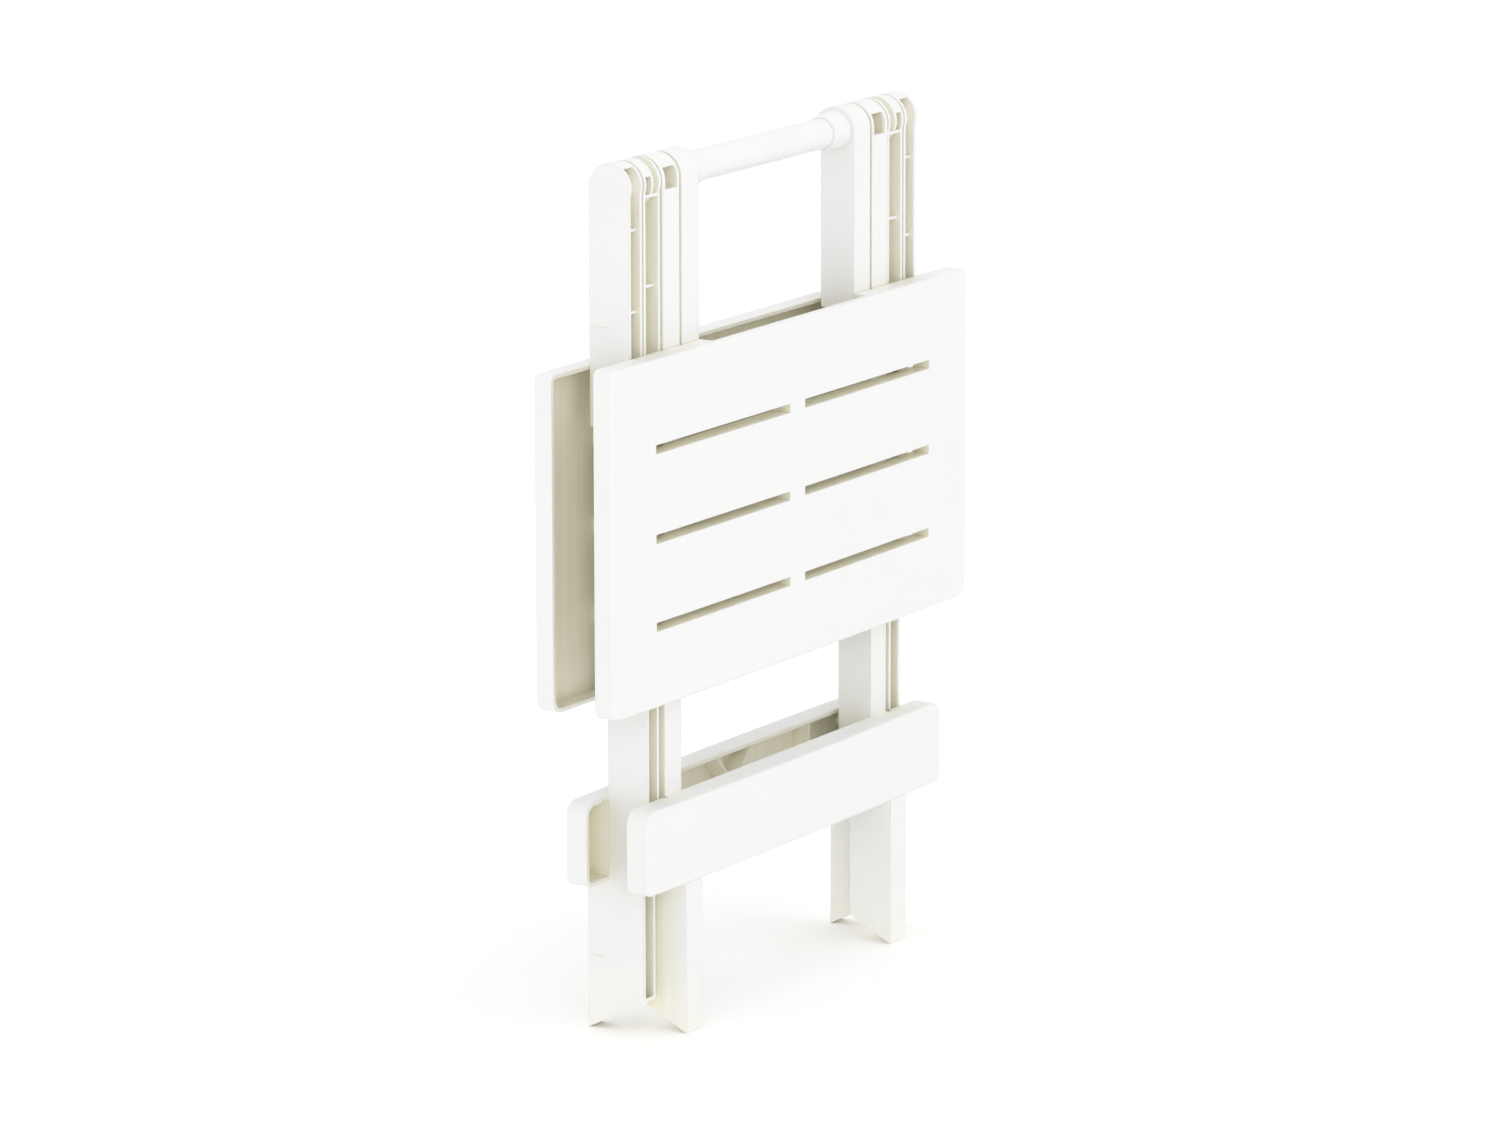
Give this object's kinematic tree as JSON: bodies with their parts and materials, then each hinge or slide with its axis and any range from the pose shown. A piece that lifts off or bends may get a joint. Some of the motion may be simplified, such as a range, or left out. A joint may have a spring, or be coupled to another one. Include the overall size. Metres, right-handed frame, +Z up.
{
  "type": "folding picnic table",
  "caption": "Small folding table of moulded plastic, folded and standing: crossed channel legs, slotted top halves hanging either side, round carrying handle.",
  "frame": {"origin": "on the floor under the middle of the folded table", "axes": "+Z up; X along the handle; -Y towards the front top half"},
  "size_m": [0.43, 0.067, 0.5656],
  "materials": {
    "top_plastic": "satin moulded white",
    "frame_plastic": "satin moulded white",
    "handle_plastic": "satin moulded white",
    "pin_plastic": "satin off-white",
    "screw_steel": "zinc plated"
  },
  "bodies": {
    "back_legs": {"back_leg_left": "frame_plastic", "back_leg_right": "frame_plastic", "back_stretcher": "frame_plastic", "back_stretcher_screws": "screw_steel", "back_hub_pin_left": "pin_plastic", "back_hub_pin_right": "pin_plastic", "back_hub_washers": "pin_plastic", "crossing_pin_left": "pin_plastic", "crossing_pin_right": "pin_plastic", "crossing_washers": "pin_plastic"},
    "front_legs": {"front_leg_left": "frame_plastic", "front_leg_right": "frame_plastic", "front_stretcher": "frame_plastic", "front_stretcher_screws": "screw_steel", "front_hub_pin_left": "pin_plastic", "front_hub_pin_right": "pin_plastic", "front_hub_washers": "pin_plastic", "front_hub_clips": "pin_plastic"},
    "back_top": {"back_top_half": "top_plastic", "back_arm_left": "frame_plastic", "back_arm_right": "frame_plastic", "back_arm_screws": "screw_steel", "handle_clip": "frame_plastic"},
    "front_top": {"front_top_half": "top_plastic", "front_arm_left": "frame_plastic", "front_arm_right": "frame_plastic", "front_arm_screws": "screw_steel", "handle_tube": "handle_plastic", "handle_collar_left": "handle_plastic", "handle_collar_right": "handle_plastic"}
  },
  "joints": [
    {"name": "leg_scissor", "type": "hinge", "parent": "back_legs", "child": "front_legs", "pos_m": [0, 0, 0.30744], "axis": [-1, 0, 0], "range_deg": [0, 24]},
    {"name": "back_top_hinge", "type": "hinge", "parent": "back_legs", "child": "back_top", "pos_m": [0, 0, 0.5504], "axis": [1, 0, 0], "range_deg": [0, 78]},
    {"name": "front_top_hinge", "type": "hinge", "parent": "front_legs", "child": "front_top", "pos_m": [0, 0, 0.5504], "axis": [-1, 0, 0], "range_deg": [0, 78]}
  ],
  "couplings": [
    {"joint": "back_top_hinge", "follows": "leg_scissor", "ratio": 3.25},
    {"joint": "front_top_hinge", "follows": "leg_scissor", "ratio": 3.25}
  ]
}
